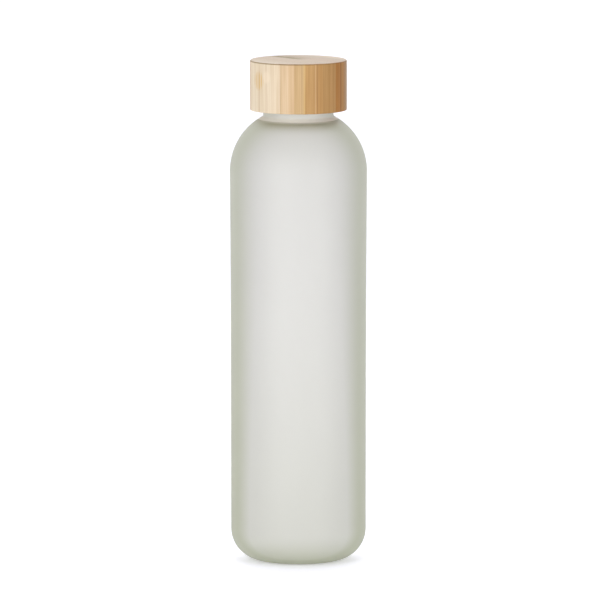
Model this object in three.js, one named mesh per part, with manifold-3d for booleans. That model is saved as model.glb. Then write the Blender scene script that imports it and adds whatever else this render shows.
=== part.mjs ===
// Slim frosted glass water bottle with a laminated bamboo screw cap.
// Units are millimetres, +Z is up, and the origin is the centre of the base on the surface it stands on.
import * as THREE from 'three';
import { mergeVertices } from 'three/addons/utils/BufferGeometryUtils.js';
import Module from 'manifold-3d';

const wasm = await Module();
wasm.setup();

// Glass body
const SHOULDER_R = 40.0; // widest radius, where the shoulder begins
const WAIST_R = 39.45; // radius of the slightly slimmer wall below
const SHOULDER_Z = 228.8; // height where the wall turns into the shoulder
const SHOULDER_ARC = 36.1; // radius of the shoulder's round
const WAIST_Z = 95; // height up to which the wall keeps its slimmer radius
const HEEL_ARC = 18.4; // radius of the round between wall and foot
const FOOT_INNER_R = 16.5; // inner edge of the flat ring that the bottle stands on
const PUSH_UP = 3.5; // how far the middle of the base rises above that ring
const PUSH_UP_SHAPE = [[0, 1], [0.55, 0.8], [0.9, 0.3], [1, 0]]; // shares of radius and of rise
const INNER_R = 36.9; // radius of the hollow
const INNER_SHOULDER_ARC = 33.0;
const INNER_SHOULDER_DROP = 0.6; // the hollow's shoulder starts this far below the outer one
const INNER_HEEL_ARC = 15.0;
const FLOOR_Z = 7.0; // inside floor, next to its heel
const FLOOR_RISE = 1.0; // how far the inside floor rises at its centre

// Neck finish
const COLLAR_R = 20.5; // plain ring of the neck that shows below the cap
const COLLAR_TOP_Z = 266.5;
const CREASE_ROUND = 1.5; // hollow round between the shoulder and the collar
const NECK_ROOT_R = 18.9; // neck between the turns of its thread
const BORE_R = 16.2;
const RIM_Z = 283.6;
const RIM_ROUND = 0.9;
const BORE_ROUND = 2.5; // round from the hollow's shoulder into the bore

// Screw thread, right-handed with one start
const PITCH = 4.0;
const THREAD_TURNS = 1.5;
const THREAD_START_Z = 273.0; // middle of the neck thread at its lower end
const THREAD_BASE = 2.0;
const THREAD_CREST = 1.0;
const NECK_THREAD_R = 20.35; // crest of the neck thread
const LINER_THREAD_R = 19.35; // crest of the liner's thread
const THREAD_ROOT_DEPTH = 0.4; // how far a thread's section reaches into the wall that carries it
const THREAD_FADE = 30; // degrees over which each end of a thread runs out
const STEPS_PER_TURN = 48;

// Cap
const CAP_R = 28.2;
const CAP_BOTTOM_Z = 264.5;
const CAP_TOP_Z = 293.8;
const CAP_TOP_ROUND = 0.8;
const CAP_BOTTOM_ROUND = 0.5;
const RECESS_R = 23.0; // round recess in the bamboo that takes the liner
const RECESS_TOP_Z = 288.0;
const STRIP_THICKNESS = 5.0; // bamboo strips that are glued side by side
const STRIP_COUNT = 12;
const GRAIN_ANGLE = 40; // degrees about Z from the X axis to the strips' stacking direction

// Liner and seal inside the cap
const LINER_R = 22.7;
const LINER_BORE_R = 20.85;
const LINER_BOTTOM_Z = 265.0;
const LINER_CEILING_Z = 285.9;
const LINER_EDGE = 0.4; // bevel on the liner's edges
const SEAL_R = 20.0;
const SEAL_HOLE_R = 14.8;
const SEAL_ROUND = 0.3; // bevel on the seal's edges

const GAP = 0.3; // clearance between pieces that touch on the real object
const GLASS_SEGMENTS = 48;
const CAP_SEGMENTS = 72;

// Bamboo colour, as hue, saturation and lightness from 0 to 1
const BAMBOO_HUE = 0.095;
const BAMBOO_SATURATION = 0.52;
const BAMBOO_LIGHTNESS = 0.66;
const LIGHTNESS_SWING = 0.04; // how much lighter or darker a strip can be
const SWING_STEP = 2.4; // radians from strip to strip

const radians = THREE.MathUtils.degToRad;

// Points of an arc about a centre, from one angle to another, both in degrees.
function arc(centreR, centreZ, radius, from, to, steps) {
  const points = [];
  for (let i = 0; i <= steps; i += 1) {
    const angle = radians(from + ((to - from) * i) / steps);
    points.push(new THREE.Vector2(centreR + radius * Math.cos(angle), centreZ + radius * Math.sin(angle)));
  }
  return points;
}

// A point of a profile, as radius and height.
function at(r, z) {
  return new THREE.Vector2(r, z);
}

// Turns a profile about the Z axis.
function turned(profile, segments) {
  const geometry = new THREE.LatheGeometry(profile, segments);
  geometry.rotateX(Math.PI / 2);
  return geometry;
}

// Makes a manifold solid from a closed geometry.
function toSolid(geometry) {
  geometry.deleteAttribute('normal');
  geometry.deleteAttribute('uv');
  const merged = mergeVertices(geometry, 1e-5);
  const index = merged.index.array;
  const triangles = [];
  for (let i = 0; i < index.length; i += 3) {
    const [a, b, c] = [index[i], index[i + 1], index[i + 2]];
    if (a !== b && b !== c && c !== a) {
      triangles.push(a, b, c);
    }
  }
  return new wasm.Manifold(new wasm.Mesh({
    numProp: 3,
    vertProperties: new Float32Array(merged.attributes.position.array),
    triVerts: new Uint32Array(triangles),
  }));
}

// Makes a geometry from a manifold solid.
function toGeometry(solid) {
  const mesh = solid.getMesh();
  const geometry = new THREE.BufferGeometry();
  geometry.setAttribute('position', new THREE.BufferAttribute(mesh.vertProperties, 3));
  geometry.setIndex(new THREE.BufferAttribute(mesh.triVerts, 1));
  geometry.computeVertexNormals();
  return geometry;
}

// One screw thread as a solid: a tapering section wound on a helix, standing out from a wall.
// side is 1 for a thread on the outside of a wall and -1 for one on the inside.
function thread(wallR, crestR, side, startZ) {
  const height = Math.abs(crestR - wallR);
  const section = new THREE.Shape();
  section.moveTo(-THREAD_BASE / 2, -THREAD_ROOT_DEPTH);
  section.lineTo(THREAD_BASE / 2, -THREAD_ROOT_DEPTH);
  section.lineTo(THREAD_BASE / 2, 0);
  section.lineTo(THREAD_CREST / 2, height);
  section.lineTo(-THREAD_CREST / 2, height);
  section.lineTo(-THREAD_BASE / 2, 0);
  section.closePath();
  const steps = THREAD_TURNS * STEPS_PER_TURN;
  const geometry = new THREE.ExtrudeGeometry(section, { depth: 1, steps, bevelEnabled: false });
  const fadeShare = THREAD_FADE / (360 * THREAD_TURNS);
  const position = geometry.attributes.position;
  for (let i = 0; i < position.count; i += 1) {
    const along = position.getZ(i);
    const rise = position.getY(i);
    const fade = Math.min(1, along / fadeShare, (1 - along) / fadeShare);
    const standing = rise > 0 ? rise * fade : rise;
    const angle = 2 * Math.PI * THREAD_TURNS * along;
    const r = wallR + side * standing;
    const z = startZ + PITCH * THREAD_TURNS * along + side * position.getX(i);
    position.setXYZ(i, r * Math.cos(angle), r * Math.sin(angle), z);
  }
  return toSolid(geometry);
}

// Outer face of the glass, from the middle of the base up to the rim.
function glassOuterProfile() {
  const shoulderCentreR = SHOULDER_R - SHOULDER_ARC;
  // The hollow round at the foot of the collar touches both the collar and the shoulder's arc.
  const creaseR = COLLAR_R + CREASE_ROUND;
  const reach = SHOULDER_ARC + CREASE_ROUND;
  const turn = Math.acos((creaseR - shoulderCentreR) / reach);
  const creaseZ = SHOULDER_Z + reach * Math.sin(turn);
  const turnDegrees = THREE.MathUtils.radToDeg(turn);
  const footR = WAIST_R - HEEL_ARC;
  // The wall widens slowly at first: by a quarter of the difference halfway up.
  const midZ = (WAIST_Z + SHOULDER_Z) / 2;
  const midR = WAIST_R + (SHOULDER_R - WAIST_R) / 4;
  return [
    ...PUSH_UP_SHAPE.map(([across, rise]) => at(FOOT_INNER_R * across, PUSH_UP * rise)),
    ...arc(footR, HEEL_ARC, HEEL_ARC, -90, 0, 7),
    at(WAIST_R, WAIST_Z),
    at(midR, midZ),
    ...arc(shoulderCentreR, SHOULDER_Z, SHOULDER_ARC, 0, turnDegrees, 8),
    ...arc(creaseR, creaseZ, CREASE_ROUND, 180 + turnDegrees, 180, 2).slice(1),
    at(COLLAR_R, COLLAR_TOP_Z - RIM_ROUND),
    at(COLLAR_R - RIM_ROUND, COLLAR_TOP_Z),
    at(NECK_ROOT_R, COLLAR_TOP_Z + RIM_ROUND),
    ...arc(NECK_ROOT_R - RIM_ROUND, RIM_Z - RIM_ROUND, RIM_ROUND, 0, 90, 2),
  ];
}

// Inner face of the glass, from the rim down to the middle of the floor.
function glassInnerProfile() {
  const centreR = INNER_R - INNER_SHOULDER_ARC;
  const centreZ = SHOULDER_Z - INNER_SHOULDER_DROP;
  // The bore's round touches both the bore and the shoulder's arc.
  const roundR = BORE_R + BORE_ROUND;
  const reach = INNER_SHOULDER_ARC + BORE_ROUND;
  const meet = Math.acos((roundR - centreR) / reach);
  const roundZ = centreZ + reach * Math.sin(meet);
  const meetDegrees = THREE.MathUtils.radToDeg(meet);
  return [
    ...arc(BORE_R + RIM_ROUND, RIM_Z - RIM_ROUND, RIM_ROUND, 90, 180, 2),
    ...arc(roundR, roundZ, BORE_ROUND, 180, 180 + meetDegrees, 3),
    ...arc(centreR, centreZ, INNER_SHOULDER_ARC, meetDegrees, 0, 6).slice(1),
    ...arc(INNER_R - INNER_HEEL_ARC, FLOOR_Z + INNER_HEEL_ARC, INNER_HEEL_ARC, 0, -90, 5),
    at(0, FLOOR_Z + FLOOR_RISE),
  ];
}

function glassBottle() {
  const shell = toSolid(turned([...glassOuterProfile(), ...glassInnerProfile()], GLASS_SEGMENTS));
  return toGeometry(shell.add(thread(NECK_ROOT_R, NECK_THREAD_R, 1, THREAD_START_Z)));
}

// Threaded plastic cup that is glued into the bamboo.
function capLiner() {
  const top = RECESS_TOP_Z - GAP;
  const shell = toSolid(turned([
    at(0, LINER_CEILING_Z),
    at(LINER_BORE_R, LINER_CEILING_Z),
    at(LINER_BORE_R, LINER_BOTTOM_Z + LINER_EDGE),
    at(LINER_BORE_R + LINER_EDGE, LINER_BOTTOM_Z),
    at(LINER_R, LINER_BOTTOM_Z),
    at(LINER_R, top - LINER_EDGE),
    at(LINER_R - LINER_EDGE, top),
    at(0, top),
  ], GLASS_SEGMENTS));
  return toGeometry(shell.add(thread(LINER_BORE_R, LINER_THREAD_R, -1, THREAD_START_Z - PITCH / 2)));
}

// Flat silicone ring between the rim and the liner's ceiling.
function siliconeSeal() {
  const low = RIM_Z + GAP;
  const high = LINER_CEILING_Z - GAP;
  return turned([
    at(SEAL_HOLE_R + SEAL_ROUND, low),
    at(SEAL_R - SEAL_ROUND, low),
    at(SEAL_R, low + SEAL_ROUND),
    at(SEAL_R, high - SEAL_ROUND),
    at(SEAL_R - SEAL_ROUND, high),
    at(SEAL_HOLE_R + SEAL_ROUND, high),
    at(SEAL_HOLE_R, high - SEAL_ROUND),
    at(SEAL_HOLE_R, low + SEAL_ROUND),
    at(SEAL_HOLE_R + SEAL_ROUND, low),
  ], GLASS_SEGMENTS);
}

// The turned and bored bamboo block, before it is divided into its strips.
function bambooBlock() {
  return toSolid(turned([
    at(0, RECESS_TOP_Z),
    at(RECESS_R, RECESS_TOP_Z),
    at(RECESS_R, CAP_BOTTOM_Z),
    ...arc(CAP_R - CAP_BOTTOM_ROUND, CAP_BOTTOM_Z + CAP_BOTTOM_ROUND, CAP_BOTTOM_ROUND, -90, 0, 2),
    ...arc(CAP_R - CAP_TOP_ROUND, CAP_TOP_Z - CAP_TOP_ROUND, CAP_TOP_ROUND, 0, 90, 3),
    at(0, CAP_TOP_Z),
  ], CAP_SEGMENTS));
}

// One strip of the block: the part of it between two flat glue faces.
function bambooStrip(block, number) {
  const slab = new THREE.BoxGeometry(STRIP_THICKNESS - GAP, 3 * CAP_R, 2 * (CAP_TOP_Z - CAP_BOTTOM_Z));
  const x = (number - (STRIP_COUNT + 1) / 2) * STRIP_THICKNESS;
  slab.translate(x, 0, CAP_BOTTOM_Z);
  return toGeometry(block.intersect(toSolid(slab)));
}

const frostedGlass = new THREE.MeshStandardMaterial({
  color: 0xdcddd2, roughness: 0.55, metalness: 0, transparent: true, opacity: 0.8,
});
const whitePlastic = new THREE.MeshStandardMaterial({ color: 0xefede6, roughness: 0.45, metalness: 0 });
const clearSilicone = new THREE.MeshStandardMaterial({ color: 0xe4e6e2, roughness: 0.6, metalness: 0 });

// Pale bamboo, alternating a little from strip to strip.
function bamboo(number) {
  const lightness = BAMBOO_LIGHTNESS + LIGHTNESS_SWING * Math.sin(SWING_STEP * number);
  const color = new THREE.Color().setHSL(BAMBOO_HUE, BAMBOO_SATURATION, lightness);
  return new THREE.MeshStandardMaterial({ color, roughness: 0.6, metalness: 0 });
}

function named(name, geometry, material) {
  const mesh = new THREE.Mesh(geometry, material);
  mesh.name = name;
  return mesh;
}

const bottle = new THREE.Group();
bottle.add(named('glass_bottle', glassBottle(), frostedGlass));
bottle.add(named('silicone_seal', siliconeSeal(), clearSilicone));

const cap = new THREE.Group();
cap.add(named('cap_liner', capLiner(), whitePlastic));
bottle.add(cap);

const lamination = new THREE.Group();
lamination.rotation.z = radians(GRAIN_ANGLE);
const block = bambooBlock();
for (let number = 1; number <= STRIP_COUNT; number += 1) {
  const name = `bamboo_strip_${String(number).padStart(2, '0')}`;
  lamination.add(named(name, bambooStrip(block, number), bamboo(number)));
}
cap.add(lamination);

export default bottle;
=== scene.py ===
"""The looks of a slim frosted glass bottle with a laminated bamboo screw cap.

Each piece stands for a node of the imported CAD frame.
"""
import math

import bmesh
import bpy
import numpy as np
from mathutils import Matrix, Vector


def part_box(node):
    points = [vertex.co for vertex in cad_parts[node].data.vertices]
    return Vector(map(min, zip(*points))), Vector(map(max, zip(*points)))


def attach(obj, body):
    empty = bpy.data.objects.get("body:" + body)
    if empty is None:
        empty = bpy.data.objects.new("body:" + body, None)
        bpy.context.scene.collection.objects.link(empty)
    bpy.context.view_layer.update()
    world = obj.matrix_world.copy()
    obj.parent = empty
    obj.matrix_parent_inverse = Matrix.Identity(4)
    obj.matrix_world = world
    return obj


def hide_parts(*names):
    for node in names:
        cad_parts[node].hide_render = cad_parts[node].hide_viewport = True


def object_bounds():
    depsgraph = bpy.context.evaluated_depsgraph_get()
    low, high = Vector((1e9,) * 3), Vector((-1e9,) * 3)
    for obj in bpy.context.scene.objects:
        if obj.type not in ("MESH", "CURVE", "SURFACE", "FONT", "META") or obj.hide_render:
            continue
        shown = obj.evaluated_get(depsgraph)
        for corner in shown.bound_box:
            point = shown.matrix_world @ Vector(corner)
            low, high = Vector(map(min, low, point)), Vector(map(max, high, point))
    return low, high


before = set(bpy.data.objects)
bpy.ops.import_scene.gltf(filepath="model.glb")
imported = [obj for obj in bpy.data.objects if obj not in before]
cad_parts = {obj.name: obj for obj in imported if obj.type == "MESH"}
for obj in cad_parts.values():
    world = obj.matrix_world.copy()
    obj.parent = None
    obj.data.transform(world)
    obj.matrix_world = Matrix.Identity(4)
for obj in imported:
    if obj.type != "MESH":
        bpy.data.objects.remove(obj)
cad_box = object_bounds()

MM = 0.001

# ---------------------------------------------------------------- sizes, in metres

# Places that the frame gives.
glass_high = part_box("glass_bottle")[1]
liner_low, liner_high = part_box("cap_liner")
seal_low, seal_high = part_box("silicone_seal")
SHOULDER_R = glass_high.x
RIM_Z = glass_high.z
CAP_BOTTOM_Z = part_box("bamboo_strip_06")[0].z
CAP_TOP_Z = cad_box[1].z
STRIP_NAMES = sorted(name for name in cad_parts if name.startswith("bamboo_strip"))

# Glass body, the same outline as the CAD shell but finely rounded.
WAIST_R = SHOULDER_R - 0.55 * MM
WAIST_Z = 95 * MM                # the wall widens from here up to the shoulder
WALL_POWER = 1.6                 # slowly at first
WALL_STEPS = 24
SHOULDER_Z = 228.8 * MM
SHOULDER_ARC = 36.1 * MM
HEEL_ARC = 18.4 * MM
FOOT_INNER_R = 16.5 * MM
PUSH_UP = 3.5 * MM
PUSH_UP_STEPS = 12
INNER_R = 36.9 * MM
INNER_SHOULDER_ARC = 33 * MM
INNER_SHOULDER_DROP = 0.6 * MM
INNER_HEEL_ARC = 15 * MM
FLOOR_Z = 7 * MM
FLOOR_RISE = 1 * MM
FLOOR_STEPS = 8

# Neck.
COLLAR_R = 20.5 * MM
COLLAR_TOP_Z = 266.5 * MM
COLLAR_ROUND = 0.7 * MM
CREASE_ROUND = 1.5 * MM
NECK_ROOT_R = 18.9 * MM
NECK_FILLET = 0.8 * MM
BORE_R = 16.2 * MM
RIM_ROUND = 0.9 * MM
BORE_ROUND = 2.5 * MM

# Screw thread.
PITCH = 4 * MM
THREAD_TURNS = 1.5
NECK_THREAD_Z = 273 * MM         # middle of the neck's thread at its lower end
LINER_THREAD_Z = NECK_THREAD_Z - PITCH / 2
THREAD_HEIGHT = 1.4 * MM
THREAD_HALF_BASE = 1.15 * MM
THREAD_HALF_CREST = 0.35 * MM
THREAD_FADE = math.radians(40)
THREAD_ROW = 0.22 * MM

# Cap.
CAP_R = 28.2 * MM
CAP_TOP_ROUND = 0.8 * MM
CAP_BOTTOM_ROUND = 0.5 * MM
RECESS_R = 23 * MM
RECESS_TOP_Z = 288 * MM
STRIP_THICKNESS = 5 * MM
GLUE_LINE = 0.02 * MM
GRAIN_ANGLE = math.radians(40)
LINER_BORE_R = 20.85 * MM
LINER_CEILING_Z = 285.9 * MM
LINER_EDGE = 0.4 * MM
SEAL_HOLE_R = 14.8 * MM
SEAL_ROUND = 0.35 * MM

# Meshes.
TURNED_SEGMENTS = 160
CAP_SEGMENTS = 240
FINE_STEP = 1.2 * MM             # longest edge along a round
LONG_STEP = 8 * MM               # longest edge along a straight wall
SUPPORT = 0.5 * MM               # edge next to each end of a straight wall, which keeps its shading flat
SHARP_ANGLE = math.radians(35)
NOTHING = 1e-9                   # lengths below this are no length at all
SAME_PLACE = 1e-7

# ---------------------------------------------------------------- looks

# Colours are for display, from 0 to 255. Noise scales are in cells to the metre.
NOISE_RANGE = (0.3, 0.7)         # most of any noise lies between these
COLOUR_BLUR = 0.1 * MM           # how softly a strip's markings end at a glue line

# Glass.
GLASS_IOR = 1.5
BODY_TRANSMISSION = 0.35
NECK_TRANSMISSION = 0.05
ABSORB_COLOUR = (196, 205, 150)
ABSORB_DENSITY = 10.0
POLISHED_ROUGHNESS = 0.06
ETCHED_ROUGHNESS = (0.5, 0.56)
ETCH_CLOUDS = (45.0, 4.0)        # scale and detail
ETCH_GRAIN = (2600.0, 2.0)
ETCH_BUMP = (0.12, 0.04 * MM)    # strength and height
GLASS_FACE = (243, 242, 237)
# The edge colour is painted shade at grazing angles: partly the glass's own olive seen through more of it,
# partly the darker shading of its sides.
GLASS_EDGE_SHADE = (221, 223, 206)
# A darker painted edge shade for the lower body.
GLASS_LOW_EDGE_SHADE = (201, 204, 179)
LOW_EDGE_SHADE_TOP = 220 * MM
EDGE_SHADE_FACING = (0.16, 0.6)        # the edge's tint comes in over this range of Layer Weight's Facing
# Darker towards the bottom: over the foot, partly the thick base glass's own olive and partly painted contact
# shade; over the lower body, painted shade.
BASE_TINT_AND_SHADE_TOP = 20 * MM
BASE_TINT_AND_SHADE = 0.6
LOWER_SHADE_TOP = 200 * MM
LOWER_SHADE = 0.3

# The painted dark ring of shade at the root of the neck, and the milkier neck above it, with painted light at
# its foot.
RING_Z = 258.0 * MM
RING_RISE = 1.0 * MM
RING_FALL = 6.5 * MM
RING_POWER = 2.7
RING_SHADE_SHARE = 0.85
RING_FACING = (0.42, 0.68)       # the ring fades out over this range of Facing
RING_SHADE_COLOUR = (186, 184, 156)
NECK_GLASS_Z = 258.7 * MM
NECK_FACE = (229, 230, 223)
NECK_EDGE_SHADE = (228, 230, 219)
# Painted light brightening the foot of the neck, in the shade under the cap.
NECK_FOOT_LIGHT_Z = (259.8 * MM, 262.0 * MM)
NECK_FOOT_LIGHT_COLOUR = (250, 250, 244)

# The strips, from the pale face at -X to the far side.
STRIP_COLOURS = [
    (243, 226, 198), (219, 191, 153), (202, 169, 121), (189, 147, 90), (189, 145, 86), (181, 139, 84),
    (185, 142, 88), (178, 123, 60), (176, 126, 64), (162, 125, 79), (214, 182, 136), (226, 198, 158),
]

# Bamboo's fibres: noise scale, how much shorter a length along the fibre counts, detail and roughness.
FINE_FIBRES = (2200.0, 0.012, 4.0, 0.6)
BANDS = (420.0, 0.03, 2.0)
CLOUDS = (160.0, 0.15, 2.0)
BUNDLES = (1500.0, 0.004, 1.0)
FINE_SHADE = (0.88, 1.07)
BAND_SHADE = (0.93, 1.05)
CLOUD_SHADE = (0.95, 1.04)
RED_POWER = 0.7                  # a darker place is a warmer one
BLUE_POWER = 1.5
BUNDLE_RANGE = (0.6, 0.72)
BUNDLE_SHARE = 0.35
BUNDLE_COLOUR = (190, 150, 100)
BAMBOO_ROUGHNESS = (0.5, 0.62)
BAMBOO_BUMP = (0.25, 0.08 * MM)

# The outermost strip's face. Places are along the strip's face and up.
OUTERMOST_EDGE = -25 * MM        # the outermost strip lies beyond this
FADE_ALONG = (-13 * MM, 5 * MM)
FADE_COLOUR = (243, 239, 235)
NODE_PLACE = (2.6 * MM, 283.0 * MM)
NODE_SIZE = (5.4 * MM, 6.5 * MM)
NODE_COLOUR = (226, 186, 112)
NODE_SHARE = 0.9
NODE_SPACING = 1.8 * MM
NODE_WAVER = 1.5 * MM
STREAK_RANGE = (-0.2, 0.8)       # the part of the wave over which a streak comes in
STREAK_SHARES = (0.1, 1.0)
SWIRL_PLACE = (-4.3 * MM, 285.4 * MM)
SWIRL_SIZE = (3.2 * MM, 4.4 * MM)
SWIRL_COLOUR = (247, 228, 200)
SWIRL_SHARE = 0.5

# Fibres and glue lines that stand out: place across the strips, half width, share and colour.
GRAIN_LINES = [
    (-15.3 * MM, 0.45 * MM, 0.5, (204, 166, 96)),
    (-21.0 * MM, 1.1 * MM, 0.4, (206, 168, 120)),
    (-9.4 * MM, 0.3 * MM, 0.25, (232, 204, 166)),
    (-8.1 * MM, 0.35 * MM, 0.5, (150, 104, 58)),
    (10.0 * MM, 0.5 * MM, 0.7, (128, 80, 38)),
]

# The top: its edge, its end grain and an olive stain.
TOP_EDGE_DEPTH = (1.1 * MM, 0.44 * MM)
TOP_EDGE_SHARES = (1.0, 0.35)    # at the outermost strip and from the middle on
TOP_EDGE_COLOUR = (178, 166, 142)
END_GRAIN_DEPTH = (0.3 * MM, 0.05 * MM)
END_GRAIN_SHARE = 0.68
END_GRAIN_COLOUR = (214, 201, 187)
END_DOT_SCALE = 1100.0
END_DOT_RANGE = (0.12, 0.4)      # a dot fades out over these distances from its middle, in cells
END_DOT_SHARE = 0.3
END_DOT_COLOUR = (176, 150, 124)
STAIN_ALONG = (-6 * MM, 10 * MM)
STAIN_END = 16 * MM
STAIN_BEYOND = 0.6               # what is left of it beyond the first strip
STAIN_NOISE = (260.0, 4.0, 0.6)  # scale, detail and roughness
STAIN_STRETCH = (1, 0.25, 1)
STAIN_RANGE = (0.3, 0.65)
STAIN_SHARES = (0.72, 1.0)
STAIN_COLOUR = (146, 128, 88)

# Liner and seal.
LINER_COLOURS = (238, 236, 229), (245, 243, 237)
LINER_ROUGHNESS = (0.36, 0.46)
LINER_CLOUD_SCALE = 120.0
SEAL_COLOURS = (222, 224, 220), (232, 233, 229)
SEAL_ROUGHNESS = (0.5, 0.62)
SEAL_CLOUD_SCALE = 300.0

# ---------------------------------------------------------------- studio

# Strengths of the surroundings as a light.
WORLD_BASE = 0.1
WORLD_BEHIND = 1.2
WORLD_ABOVE = 0.8
WORLD_RAMP = (0.1, 0.9)          # the light comes in as a direction points this far back or up

# Two soft lights: place, size and power.
LIGHT_AIM = (0, 0, 0.16)
KEY_LIGHT = (-1.1, -1.9, 0.6), (1.2, 1.6), 21.5
FILL_LIGHT = (1.5, -1.8, 0.5), (1.0, 1.4), 15.5

# A narrow sheet that reaches further behind the bottle than in front of it.
SHEET_SIZE = (1.1, 6.0)
SHEET_BACK = 1.2
SHEET_DROP = 0.05 * MM
SHEET_COLOURS = (241, 241, 252), (244, 244, 255)
SHEET_CLOUDS = (30.0, 2.0)       # scale and detail
SHEET_ROUGHNESS = 0.9
SHEET_GLOW = 0.31

# The camera looks slightly down from in front.
CAMERA_PLACE = (0.0009, -5.0, 0.782)
CAMERA_TILT = 0.1252
LENS = 517.6
SENSOR = 36
CLIP = (0.1, 100)


# ---------------------------------------------------------------- outlines

def arc(centre_r, centre_z, radius, start, end, least=4):
    """Points of an arc from one angle to another, in degrees."""
    length = radius * math.radians(abs(end - start))
    count = max(least, math.ceil(length / FINE_STEP))
    angles = [math.radians(start + (end - start) * i / count) for i in range(count + 1)]
    return [(centre_r + radius * math.cos(a), centre_z + radius * math.sin(a)) for a in angles]


def supported(outline):
    """The outline with extra points along each long straight stretch."""
    points = [outline[0]]
    for (r0, z0), (r1, z1) in zip(outline, outline[1:]):
        length = math.hypot(r1 - r0, z1 - z0)
        if length < NOTHING:
            continue
        if length > 2 * FINE_STEP:
            near = SUPPORT / length
            count = max(1, math.ceil((length - 2 * SUPPORT) / LONG_STEP))
            shares = [near + (1 - 2 * near) * i / count for i in range(count + 1)]
            points += [(r0 + (r1 - r0) * s, z0 + (z1 - z0) * s) for s in shares]
        points.append((r1, z1))
    return points


def thread_rows(low, high, r):
    """Closely spaced points up or down a threaded wall."""
    count = math.ceil(abs(high - low) / THREAD_ROW)
    return [(r, low + (high - low) * i / count) for i in range(count + 1)]


def glass_outer():
    """The outside, from the middle of the base up to the rim."""
    shoulder_centre = SHOULDER_R - SHOULDER_ARC
    # The small hollow round at the foot of the collar touches both the collar and the shoulder.
    crease_r = COLLAR_R + CREASE_ROUND
    reach = SHOULDER_ARC + CREASE_ROUND
    turn = math.acos((crease_r - shoulder_centre) / reach)
    crease_z = SHOULDER_Z + reach * math.sin(turn)
    turn = math.degrees(turn)
    push_up_shares = [i / PUSH_UP_STEPS for i in range(PUSH_UP_STEPS + 1)]
    push_up = [(FOOT_INNER_R * share, PUSH_UP * (1 - share ** 3)) for share in push_up_shares]
    wall = []
    for i in range(1, WALL_STEPS):
        z = HEEL_ARC + (SHOULDER_Z - HEEL_ARC) * i / WALL_STEPS
        widening = max(0.0, (z - WAIST_Z) / (SHOULDER_Z - WAIST_Z))
        wall.append((WAIST_R + (SHOULDER_R - WAIST_R) * widening ** WALL_POWER, z))
    return (
        push_up
        + arc(WAIST_R - HEEL_ARC, HEEL_ARC, HEEL_ARC, -90, 0)
        + wall
        + arc(shoulder_centre, SHOULDER_Z, SHOULDER_ARC, 0, turn)
        + arc(crease_r, crease_z, CREASE_ROUND, 180 + turn, 180)[1:]
        + arc(COLLAR_R - COLLAR_ROUND, COLLAR_TOP_Z - COLLAR_ROUND, COLLAR_ROUND, 0, 90)
        + arc(NECK_ROOT_R + NECK_FILLET, COLLAR_TOP_Z + NECK_FILLET, NECK_FILLET, -90, -180)
        + thread_rows(NECK_THREAD_Z - PITCH, RIM_Z - 2 * RIM_ROUND, NECK_ROOT_R)
        + arc(NECK_ROOT_R - RIM_ROUND, RIM_Z - RIM_ROUND, RIM_ROUND, 0, 90)
    )


def glass_inner():
    """The inside, from the rim down to the middle of the floor."""
    centre_r = INNER_R - INNER_SHOULDER_ARC
    centre_z = SHOULDER_Z - INNER_SHOULDER_DROP
    round_r = BORE_R + BORE_ROUND
    reach = INNER_SHOULDER_ARC + BORE_ROUND
    meet = math.acos((round_r - centre_r) / reach)
    round_z = centre_z + reach * math.sin(meet)
    meet = math.degrees(meet)
    heel_r = INNER_R - INNER_HEEL_ARC
    floor_shares = [i / FLOOR_STEPS for i in range(FLOOR_STEPS)]
    floor = [(heel_r * share, FLOOR_Z + FLOOR_RISE * (1 - share ** 2)) for share in floor_shares]
    return (
        arc(BORE_R + RIM_ROUND, RIM_Z - RIM_ROUND, RIM_ROUND, 90, 180)
        + arc(round_r, round_z, BORE_ROUND, 180, 180 + meet)
        + arc(centre_r, centre_z, INNER_SHOULDER_ARC, meet, 0)
        + arc(heel_r, FLOOR_Z + INNER_HEEL_ARC, INNER_HEEL_ARC, 0, -90)
        + floor[::-1]
    )


def eased(share):
    """A share from 0 to 1 with soft ends."""
    return share * share * (3 - 2 * share)


def thread_height(z, angle, start_z):
    """How far a thread stands out at a place on its wall, in metres."""
    best = 0.0
    last = 2 * math.pi * THREAD_TURNS
    for turn in range(math.ceil(THREAD_TURNS) + 1):
        along = angle + 2 * math.pi * turn
        if along > last:
            continue
        off = abs(z - start_z - PITCH * along / (2 * math.pi))
        share = min(1.0, max(0.0, (THREAD_HALF_BASE - off) / (THREAD_HALF_BASE - THREAD_HALF_CREST)))
        fade = min(1.0, along / THREAD_FADE, (last - along) / THREAD_FADE)
        best = max(best, eased(share) * eased(fade))
    return THREAD_HEIGHT * best


# ---------------------------------------------------------------- meshes

def revolve(outline, segments, relief=None):
    """A closed mesh turned about Z from an outline.

    The outline starts and ends on the axis, or it closes on itself.
    relief(r, z, angle) gives the radius where it isn't the outline's own.
    """
    closed = outline[0][0] > NOTHING
    if closed:
        outline = outline[:-1]
    bm = bmesh.new()
    rings = []
    for r, z in outline:
        if r < NOTHING:
            rings.append([bm.verts.new((0, 0, z))])
            continue
        ring = []
        for i in range(segments):
            angle = 2 * math.pi * i / segments
            radius = relief(r, z, angle) if relief else r
            ring.append(bm.verts.new((radius * math.cos(angle), radius * math.sin(angle), z)))
        rings.append(ring)
    count = len(rings) if closed else len(rings) - 1
    for row in range(count):
        lower, upper = rings[row], rings[(row + 1) % len(rings)]
        for i in range(segments):
            j = (i + 1) % segments
            if len(lower) == 1:
                corners = (lower[0], upper[j], upper[i])
            elif len(upper) == 1:
                corners = (lower[i], lower[j], upper[0])
            else:
                corners = (lower[i], lower[j], upper[j], upper[i])
            bm.faces.new(corners).smooth = True
    return bm


def to_object(bm, name, *materials):
    """Makes an object of a finished bmesh."""
    mesh = bpy.data.meshes.new(name)
    bm.to_mesh(mesh)
    bm.free()
    for material in materials:
        mesh.materials.append(material)
    piece = bpy.data.objects.new(name, mesh)
    bpy.context.scene.collection.objects.link(piece)
    return piece


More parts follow.
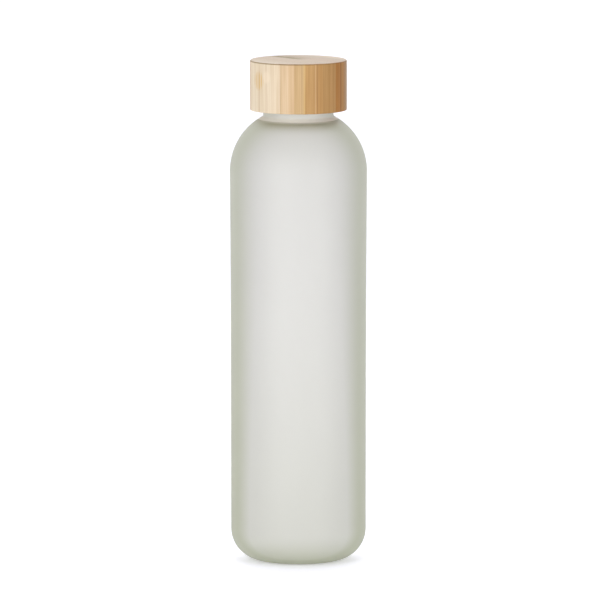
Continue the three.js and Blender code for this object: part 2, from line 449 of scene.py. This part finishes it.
def belong(piece, body, node):
    """Says which body a piece moves with, and hides the CAD node it stands for."""
    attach(piece, body)
    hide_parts(node)


# ---------------------------------------------------------------- shader helpers

class Shader:
    """A new material's node tree, with short calls for adding and joining nodes."""

    def __init__(self, name):
        self.material = bpy.data.materials.new(name)
        self.material.use_nodes = True
        self.tree = self.material.node_tree
        self.surface = self.tree.nodes["Principled BSDF"]
        self.output = self.tree.nodes["Material Output"]

    def node(self, kind, values=None, **settings):
        made = self.tree.nodes.new("ShaderNode" + kind)
        for key, value in settings.items():
            setattr(made, key, value)
        for key, value in (values or {}).items():
            self.put(made, key, value)
        return made

    def put(self, node, key, value):
        """Sets an input, or links it when the value is another node's output."""
        socket = node.inputs[key]
        if isinstance(value, bpy.types.NodeSocket):
            self.tree.links.new(value, socket)
        else:
            socket.default_value = value

    def place(self):
        """Object coordinates: metres in the row's frame, at rest."""
        return self.node("TexCoord").outputs["Object"]

    def along_grain(self, stretch=1.0):
        """Coordinates across the strips, along their faces and up, with the height scaled."""
        values = {"Vector": self.place(), "Rotation": (0, 0, -GRAIN_ANGLE), "Scale": (1, 1, stretch)}
        return self.node("Mapping", values).outputs[0]

    def noise(self, vector, scale, detail=3.0, roughness=0.5):
        values = {"Vector": vector, "Scale": scale, "Detail": detail, "Roughness": roughness}
        return self.node("TexNoise", values).outputs["Fac"]

    def fibres(self, scale, stretch, detail, roughness=0.5):
        """Noise drawn out along the fibres."""
        return self.noise(self.along_grain(stretch), scale, detail, roughness)

    def math(self, operation, first, second=0.5, clamp=False):
        made = self.node("Math", {0: first, 1: second}, operation=operation, use_clamp=clamp)
        return made.outputs[0]

    def times(self, first, *others):
        """The product of two or more values."""
        for other in others:
            first = self.math("MULTIPLY", first, other)
        return first

    def remap(self, value, low, high, to_low, to_high, smooth=True):
        values = {"Value": value, "From Min": low, "From Max": high, "To Min": to_low, "To Max": to_high}
        kind = "SMOOTHSTEP" if smooth else "LINEAR"
        return self.node("MapRange", values, interpolation_type=kind).outputs[0]

    def spread(self, noise, low, high):
        """Noise spread between two values."""
        return self.remap(noise, *NOISE_RANGE, low, high)

    def mix(self, share, first, second, blend="MIX"):
        made = self.node("Mix", data_type="RGBA", blend_type=blend)
        self.put(made, 0, share)
        self.put(made, 6, first)
        self.put(made, 7, second)
        return made.outputs[2]

    def bump(self, height, strength, distance):
        return self.node("Bump", {"Height": height, "Strength": strength, "Distance": distance}).outputs[0]

    def spot(self, first, second, centre, size):
        """1 in the middle of an ellipse and 0 outside it."""
        squares = []
        for value, middle, half in zip((first, second), centre, size):
            share = self.math("DIVIDE", self.math("SUBTRACT", value, middle), half)
            squares.append(self.times(share, share))
        return self.remap(self.math("ADD", *squares), 0.2, 1.0, 1.0, 0.0)

    def set(self, **values):
        """Sets the surface shader's inputs, with underscores for the spaces in their names."""
        for key, value in values.items():
            self.put(self.surface, key.replace("_", " "), value)


def colour(r, g, b):
    """A display colour, 0 to 255, as linear values."""
    def linear(v):
        v /= 255
        return v / 12.92 if v <= 0.04045 else ((v + 0.055) / 1.055) ** 2.4
    return (linear(r), linear(g), linear(b), 1.0)


# ---------------------------------------------------------------- materials

def glass_shader(name, transmission, face, edge):
    """Pale glass: near white face on, and olive with painted shade towards its edges and low down, which
    partly stands for more of the glass being looked through.
    """
    shader = Shader(name)
    shader.facing = shader.node("LayerWeight", {"Blend": 0.5}).outputs["Facing"]
    shader.height = shader.node("SeparateXYZ", {"Vector": shader.place()}).outputs["Z"]
    # Painted shade: the edge colour comes in at grazing angles, and a darker edge colour low down.
    side = shader.remap(shader.facing, *EDGE_SHADE_FACING, 0.0, 1.0)
    # Painted shade darker towards the bottom, with the thick base's own olive at the foot.
    base_tint_and_shade = shader.remap(shader.height, 0.0, BASE_TINT_AND_SHADE_TOP, BASE_TINT_AND_SHADE, 0.0)
    lower = shader.remap(shader.height, 0.0, LOWER_SHADE_TOP, LOWER_SHADE, 0.0)
    depth = shader.math("MAXIMUM", side, shader.math("ADD", base_tint_and_shade, lower, clamp=True))
    low = shader.remap(shader.height, 0.0, LOW_EDGE_SHADE_TOP, 1.0, 0.0, smooth=False)
    edge_shade_colour = shader.mix(low, colour(*edge), colour(*GLASS_LOW_EDGE_SHADE))
    shader.tint = shader.mix(depth, colour(*face), edge_shade_colour)
    shader.set(Base_Color=shader.tint, Transmission_Weight=transmission, IOR=GLASS_IOR)
    absorb = shader.node("VolumeAbsorption", {"Color": colour(*ABSORB_COLOUR), "Density": ABSORB_DENSITY})
    shader.put(shader.output, "Volume", absorb.outputs[0])
    return shader


def etch(shader):
    """The satin of acid etching: a faint cloudiness and a very fine grain."""
    clouds = shader.noise(shader.place(), *ETCH_CLOUDS)
    grain = shader.noise(shader.place(), *ETCH_GRAIN)
    shader.set(Roughness=shader.spread(clouds, *ETCHED_ROUGHNESS), Normal=shader.bump(grain, *ETCH_BUMP))


def frosted_glass():
    """The body's outside, with a painted dark ring of shade on the shoulder just below the neck."""
    shader = glass_shader("frosted_glass", BODY_TRANSMISSION, GLASS_FACE, GLASS_EDGE_SHADE)
    etch(shader)
    # A painted ring of shade on the shoulder below the neck, fading out towards the sides.
    above = shader.remap(shader.height, RING_Z, RING_Z + RING_RISE, 1.0, 0.0)
    below = shader.remap(shader.height, RING_Z - RING_FALL, RING_Z, 0.0, 1.0, smooth=False)
    fade = shader.remap(shader.facing, *RING_FACING, RING_SHADE_SHARE, 0.0)
    ring = shader.times(above, shader.math("POWER", below, RING_POWER), fade)
    shader.set(Base_Color=shader.mix(ring, shader.tint, colour(*RING_SHADE_COLOUR)))
    return shader.material


def neck_glass():
    """The thick neck: milkier, as little light gets through it, with painted light brightening its foot in
    the shade under the cap.
    """
    shader = glass_shader("neck_glass", NECK_TRANSMISSION, NECK_FACE, NECK_EDGE_SHADE)
    etch(shader)
    # Painted light at the foot of the neck.
    foot_light = shader.remap(shader.height, *NECK_FOOT_LIGHT_Z, 1.0, 0.0)
    shader.set(Base_Color=shader.mix(foot_light, shader.tint, colour(*NECK_FOOT_LIGHT_COLOUR)))
    return shader.material


def clear_glass():
    """The fire-polished inside."""
    shader = glass_shader("clear_glass", BODY_TRANSMISSION, GLASS_FACE, GLASS_EDGE_SHADE)
    shader.set(Roughness=POLISHED_ROUGHNESS)
    return shader.material


def side_grain(shader, tone, fine, clouds):
    """A strip's own tone with fine streaks, broader bands, clouds and a few dark fibre bundles."""
    bands = shader.fibres(*BANDS)
    shade = shader.times(
        shader.spread(fine, *FINE_SHADE),
        shader.spread(bands, *BAND_SHADE),
        shader.spread(clouds, *CLOUD_SHADE))
    warmth = {0: shader.math("POWER", shade, RED_POWER), 1: shade, 2: shader.math("POWER", shade, BLUE_POWER)}
    body = shader.mix(1.0, tone, shader.node("CombineColor", warmth).outputs[0], "MULTIPLY")
    bundles = shader.remap(shader.fibres(*BUNDLES), *BUNDLE_RANGE, 0.0, BUNDLE_SHARE)
    return shader.mix(bundles, body, colour(*BUNDLE_COLOUR), "MULTIPLY")


def outermost_face(shader, body, across, along, height, clouds):
    """The outermost strip darkens towards one end, and has a node: golden streaks beside a paler swirl."""
    outermost = shader.remap(across, OUTERMOST_EDGE, OUTERMOST_EDGE + COLOUR_BLUR, 1.0, 0.0)
    fade = shader.times(outermost, shader.remap(along, *FADE_ALONG, 1.0, 0.0))
    body = shader.mix(fade, body, colour(*FADE_COLOUR), "MULTIPLY")
    wavering = shader.math("ADD", along, shader.times(clouds, NODE_WAVER))
    wave = shader.math("SINE", shader.times(wavering, 2 * math.pi / NODE_SPACING))
    streaks = shader.remap(wave, *STREAK_RANGE, *STREAK_SHARES)
    mark = shader.times(shader.spot(along, height, NODE_PLACE, NODE_SIZE), streaks, outermost, NODE_SHARE)
    body = shader.mix(mark, body, colour(*NODE_COLOUR))
    swirl = shader.times(shader.spot(along, height, SWIRL_PLACE, SWIRL_SIZE), outermost, SWIRL_SHARE)
    return shader.mix(swirl, body, colour(*SWIRL_COLOUR))


def top_edge(shader, body, across, height):
    """The turned edge round the top, which is a little darker."""
    start, full = (CAP_TOP_Z - depth for depth in TOP_EDGE_DEPTH)
    up = shader.remap(height, start, full, 0.0, 1.0)
    edge = shader.times(up, shader.remap(across, -CAP_R, 0.0, *TOP_EDGE_SHARES))
    return shader.mix(edge, body, colour(*TOP_EDGE_COLOUR), "MULTIPLY")


def end_grain(shader, tone, across, along):
    """The cut ends of the fibre bundles: fine darker dots on a greyer, pinker ground, with an olive stain."""
    ground = shader.mix(END_GRAIN_SHARE, tone, colour(*END_GRAIN_COLOUR))
    cells = shader.node("TexVoronoi", {"Vector": shader.along_grain(), "Scale": END_DOT_SCALE})
    dots = shader.remap(cells.outputs["Distance"], *END_DOT_RANGE, END_DOT_SHARE, 0.0)
    ground = shader.mix(dots, ground, colour(*END_DOT_COLOUR), "MULTIPLY")

    # The stain starts sharply at one glue line, drops at the next one and fades out beyond it.
    values = {"Vector": shader.place(), "Rotation": (0, 0, -GRAIN_ANGLE), "Scale": STAIN_STRETCH}
    patches = shader.noise(shader.node("Mapping", values).outputs[0], *STAIN_NOISE)
    blur = COLOUR_BLUR
    stain = shader.times(
        shader.remap(patches, *STAIN_RANGE, *STAIN_SHARES),
        shader.remap(along, *STAIN_ALONG, 0.0, 1.0),
        shader.remap(across, -blur, blur, 0.0, 1.0),
        shader.remap(across, STRIP_THICKNESS - blur, STRIP_THICKNESS + blur, 1.0, STAIN_BEYOND),
        shader.remap(across, STRIP_THICKNESS, STAIN_END, 1.0, 0.0))
    return shader.mix(stain, ground, colour(*STAIN_COLOUR))


def bamboo():
    """Laminated bamboo: fibres run along Z, so the sides are streaked and the top is dotted end grain."""
    shader = Shader("bamboo")
    tone = shader.node("Attribute", attribute_name="strip_colour").outputs["Color"]
    across, along, height = shader.node("SeparateXYZ", {"Vector": shader.along_grain()}).outputs
    fine, clouds = shader.fibres(*FINE_FIBRES), shader.fibres(*CLOUDS)
    body = side_grain(shader, tone, fine, clouds)
    body = outermost_face(shader, body, across, along, height, clouds)
    for line_place, half, share, line_colour in GRAIN_LINES:
        off = shader.math("ABSOLUTE", shader.math("SUBTRACT", across, line_place))
        body = shader.mix(shader.remap(off, 0.5 * half, 1.5 * half, share, 0.0), body, colour(*line_colour))
    body = top_edge(shader, body, across, height)
    start, full = (CAP_TOP_Z - depth for depth in END_GRAIN_DEPTH)
    on_top = shader.remap(height, start, full, 0.0, 1.0)
    body = shader.mix(on_top, body, end_grain(shader, tone, across, along))
    shader.set(Base_Color=body, Roughness=shader.spread(fine, *BAMBOO_ROUGHNESS))
    shader.set(Normal=shader.bump(fine, *BAMBOO_BUMP))
    return shader.material


def clouded(name, scale, colours, roughness):
    """A plain moulded material with a faint cloudiness in its colour and gloss."""
    shader = Shader(name)
    cloud = shader.noise(shader.place(), scale)
    shader.set(
        Base_Color=shader.mix(cloud, *(colour(*shade) for shade in colours)),
        Roughness=shader.spread(cloud, *roughness))
    return shader.material


def satin_plastic():
    return clouded("liner_plastic", LINER_CLOUD_SCALE, LINER_COLOURS, LINER_ROUGHNESS)


def silicone():
    return clouded("silicone", SEAL_CLOUD_SCALE, SEAL_COLOURS, SEAL_ROUGHNESS)


# ---------------------------------------------------------------- pieces

def threaded(wall_r, side, start_z):
    """The relief of a thread on the wall of one radius; side is 1 on its outside and -1 on its inside."""
    def relief(r, z, angle):
        if abs(r - wall_r) > SAME_PLACE:
            return r
        return r + side * thread_height(z, angle, start_z)
    return relief


def make_bottle():
    outer, inner = supported(glass_outer()), supported(glass_inner())
    bm = revolve(outer + inner[1:], TURNED_SEGMENTS, threaded(NECK_ROOT_R, 1, NECK_THREAD_Z))
    outside_faces = TURNED_SEGMENTS * (len(outer) - 1)
    for number, face in enumerate(bm.faces):
        if number >= outside_faces:
            face.material_index = 2
        elif min(vert.co.z for vert in face.verts) >= NECK_GLASS_Z:
            face.material_index = 1
    piece = to_object(bm, "frosted_bottle", frosted_glass(), neck_glass(), clear_glass())
    belong(piece, "bottle", "glass_bottle")


def make_liner():
    top, bottom, r = liner_high.z, liner_low.z, liner_high.x
    e = LINER_EDGE
    outline = supported(
        [(0, LINER_CEILING_Z)]
        + arc(LINER_BORE_R - e, LINER_CEILING_Z - e, e, 90, 0)
        + thread_rows(LINER_CEILING_Z - 2 * e, LINER_THREAD_Z - PITCH, LINER_BORE_R)
        + arc(LINER_BORE_R + e, bottom + e, e, 180, 270)
        + arc(r - e, bottom + e, e, -90, 0)
        + arc(r - e, top - e, e, 0, 90)
        + [(0, top)]
    )
    bm = revolve(outline, TURNED_SEGMENTS, threaded(LINER_BORE_R, -1, LINER_THREAD_Z))
    belong(to_object(bm, "threaded_liner", satin_plastic()), "cap", "cap_liner")


def make_seal():
    low, high, r = seal_low.z, seal_high.z, seal_high.x
    e = SEAL_ROUND
    outline = (
        arc(r - e, low + e, e, -90, 0)
        + arc(r - e, high - e, e, 0, 90)
        + arc(SEAL_HOLE_R + e, high - e, e, 90, 180)
        + arc(SEAL_HOLE_R + e, low + e, e, 180, 270)
    )
    outline.append(outline[0])
    bm = revolve(supported(outline), TURNED_SEGMENTS)
    belong(to_object(bm, "seal_ring", silicone()), "seal", "silicone_seal")


def bamboo_block():
    """The turned and bored block, before it is divided into strips."""
    outline = supported(
        [(0, RECESS_TOP_Z), (RECESS_R, RECESS_TOP_Z), (RECESS_R, CAP_BOTTOM_Z)]
        + arc(CAP_R - CAP_BOTTOM_ROUND, CAP_BOTTOM_Z + CAP_BOTTOM_ROUND, CAP_BOTTOM_ROUND, -90, 0)
        + arc(CAP_R - CAP_TOP_ROUND, CAP_TOP_Z - CAP_TOP_ROUND, CAP_TOP_ROUND, 0, 90, 5)
        + [(0, CAP_TOP_Z)]
    )
    return revolve(outline, CAP_SEGMENTS)


def make_strip(block, number, material):
    """One strip: the part of the block between two glue faces."""
    bm = block.copy()
    middle = (number - (len(STRIP_NAMES) - 1) / 2) * STRIP_THICKNESS
    for side in (-1, 1):
        edge = middle + side * (STRIP_THICKNESS - GLUE_LINE) / 2
        everything = bm.verts[:] + bm.edges[:] + bm.faces[:]
        bmesh.ops.bisect_plane(
            bm, geom=everything, dist=SAME_PLACE,
            plane_co=(edge, 0, 0), plane_no=(side, 0, 0), clear_outer=True)
        rim = [e for e in bm.edges if e.is_boundary]
        if rim:
            bmesh.ops.edgeloop_fill(bm, edges=rim)
    bmesh.ops.recalc_face_normals(bm, faces=bm.faces)
    bmesh.ops.rotate(bm, verts=bm.verts, matrix=Matrix.Rotation(GRAIN_ANGLE, 3, "Z"))
    name = STRIP_NAMES[number]
    piece = to_object(bm, name.replace("strip", "slat"), material)
    piece.data.set_sharp_from_angle(angle=SHARP_ANGLE)
    tint = piece.data.attributes.new("strip_colour", "FLOAT_COLOR", "POINT")
    values = np.tile(colour(*STRIP_COLOURS[number]), (len(piece.data.vertices), 1))
    tint.data.foreach_set("color", values.astype(np.float32).ravel())
    belong(piece, "cap", name)


def make_cap():
    block = bamboo_block()
    material = bamboo()
    for number in range(len(STRIP_NAMES)):
        make_strip(block, number, material)
    block.free()


# ---------------------------------------------------------------- studio

def make_floor():
    """A pale sheet under the bottle, bright enough that only the shadow close to the bottle shows."""
    bm = bmesh.new()
    bmesh.ops.create_grid(bm, x_segments=1, y_segments=1, size=0.5)
    bmesh.ops.scale(bm, verts=bm.verts, vec=(*SHEET_SIZE, 1))
    bmesh.ops.translate(bm, verts=bm.verts, vec=(0, SHEET_BACK, -SHEET_DROP))
    shader = Shader("floor")
    cloud = shader.noise(shader.place(), *SHEET_CLOUDS)
    shader.set(
        Base_Color=shader.mix(cloud, *(colour(*shade) for shade in SHEET_COLOURS)),
        Roughness=SHEET_ROUGHNESS, Emission_Color=(1, 1, 1, 1), Emission_Strength=SHEET_GLOW)
    to_object(bm, "floor", shader.material)


def make_world():
    """White where the camera sees it; as a light, bright from behind and above and dim from the rest."""
    world = bpy.data.worlds.new("studio")
    bpy.context.scene.world = world
    world.use_nodes = True
    nodes, links = world.node_tree.nodes, world.node_tree.links
    direction = nodes.new("ShaderNodeSeparateXYZ")
    links.new(nodes.new("ShaderNodeTexCoord").outputs["Generated"], direction.inputs[0])

    def ramp(axis, start, end):
        low, high = WORLD_RAMP
        made = nodes.new("ShaderNodeMapRange")
        made.interpolation_type = "SMOOTHSTEP"
        links.new(direction.outputs[axis], made.inputs["Value"])
        for key, number in (("From Min", low), ("From Max", high), ("To Min", start), ("To Max", end)):
            made.inputs[key].default_value = number
        return made.outputs[0]

    strength = nodes.new("ShaderNodeMath")
    links.new(ramp("Y", 0.0, WORLD_BEHIND), strength.inputs[0])
    links.new(ramp("Z", WORLD_BASE, WORLD_ABOVE), strength.inputs[1])
    lighting = nodes["Background"]
    links.new(strength.outputs[0], lighting.inputs["Strength"])
    seen = nodes.new("ShaderNodeBackground")
    choose = nodes.new("ShaderNodeMixShader")
    links.new(nodes.new("ShaderNodeLightPath").outputs["Is Camera Ray"], choose.inputs[0])
    links.new(lighting.outputs[0], choose.inputs[1])
    links.new(seen.outputs[0], choose.inputs[2])
    seen.inputs["Color"].default_value = lighting.inputs["Color"].default_value = (1, 1, 1, 1)
    links.new(choose.outputs[0], nodes["World Output"].inputs[0])


def area_light(name, location, size, power):
    """A soft rectangular light that the camera doesn't see."""
    data = bpy.data.lights.new(name, "AREA")
    data.shape = "RECTANGLE"
    data.size, data.size_y = size
    data.energy = power
    light = bpy.data.objects.new(name, data)
    light.location = location
    light.rotation_euler = (Vector(LIGHT_AIM) - Vector(location)).to_track_quat("-Z", "Y").to_euler()
    light.visible_camera = False
    bpy.context.scene.collection.objects.link(light)


def make_camera():
    """A long lens in front of the bottle, high enough to see a little of the cap's top."""
    data = bpy.data.cameras.new("camera")
    data.sensor_width = SENSOR
    data.lens = LENS
    data.clip_start, data.clip_end = CLIP
    camera = bpy.data.objects.new("camera", data)
    camera.location = CAMERA_PLACE
    camera.rotation_euler = (math.pi / 2 - CAMERA_TILT, 0, 0)
    bpy.context.scene.collection.objects.link(camera)
    bpy.context.scene.camera = camera


make_bottle()
make_liner()
make_seal()
make_cap()
make_floor()
make_world()
area_light("key", *KEY_LIGHT)
area_light("fill", *FILL_LIGHT)
make_camera()
bpy.context.scene.view_settings.view_transform = "Standard"
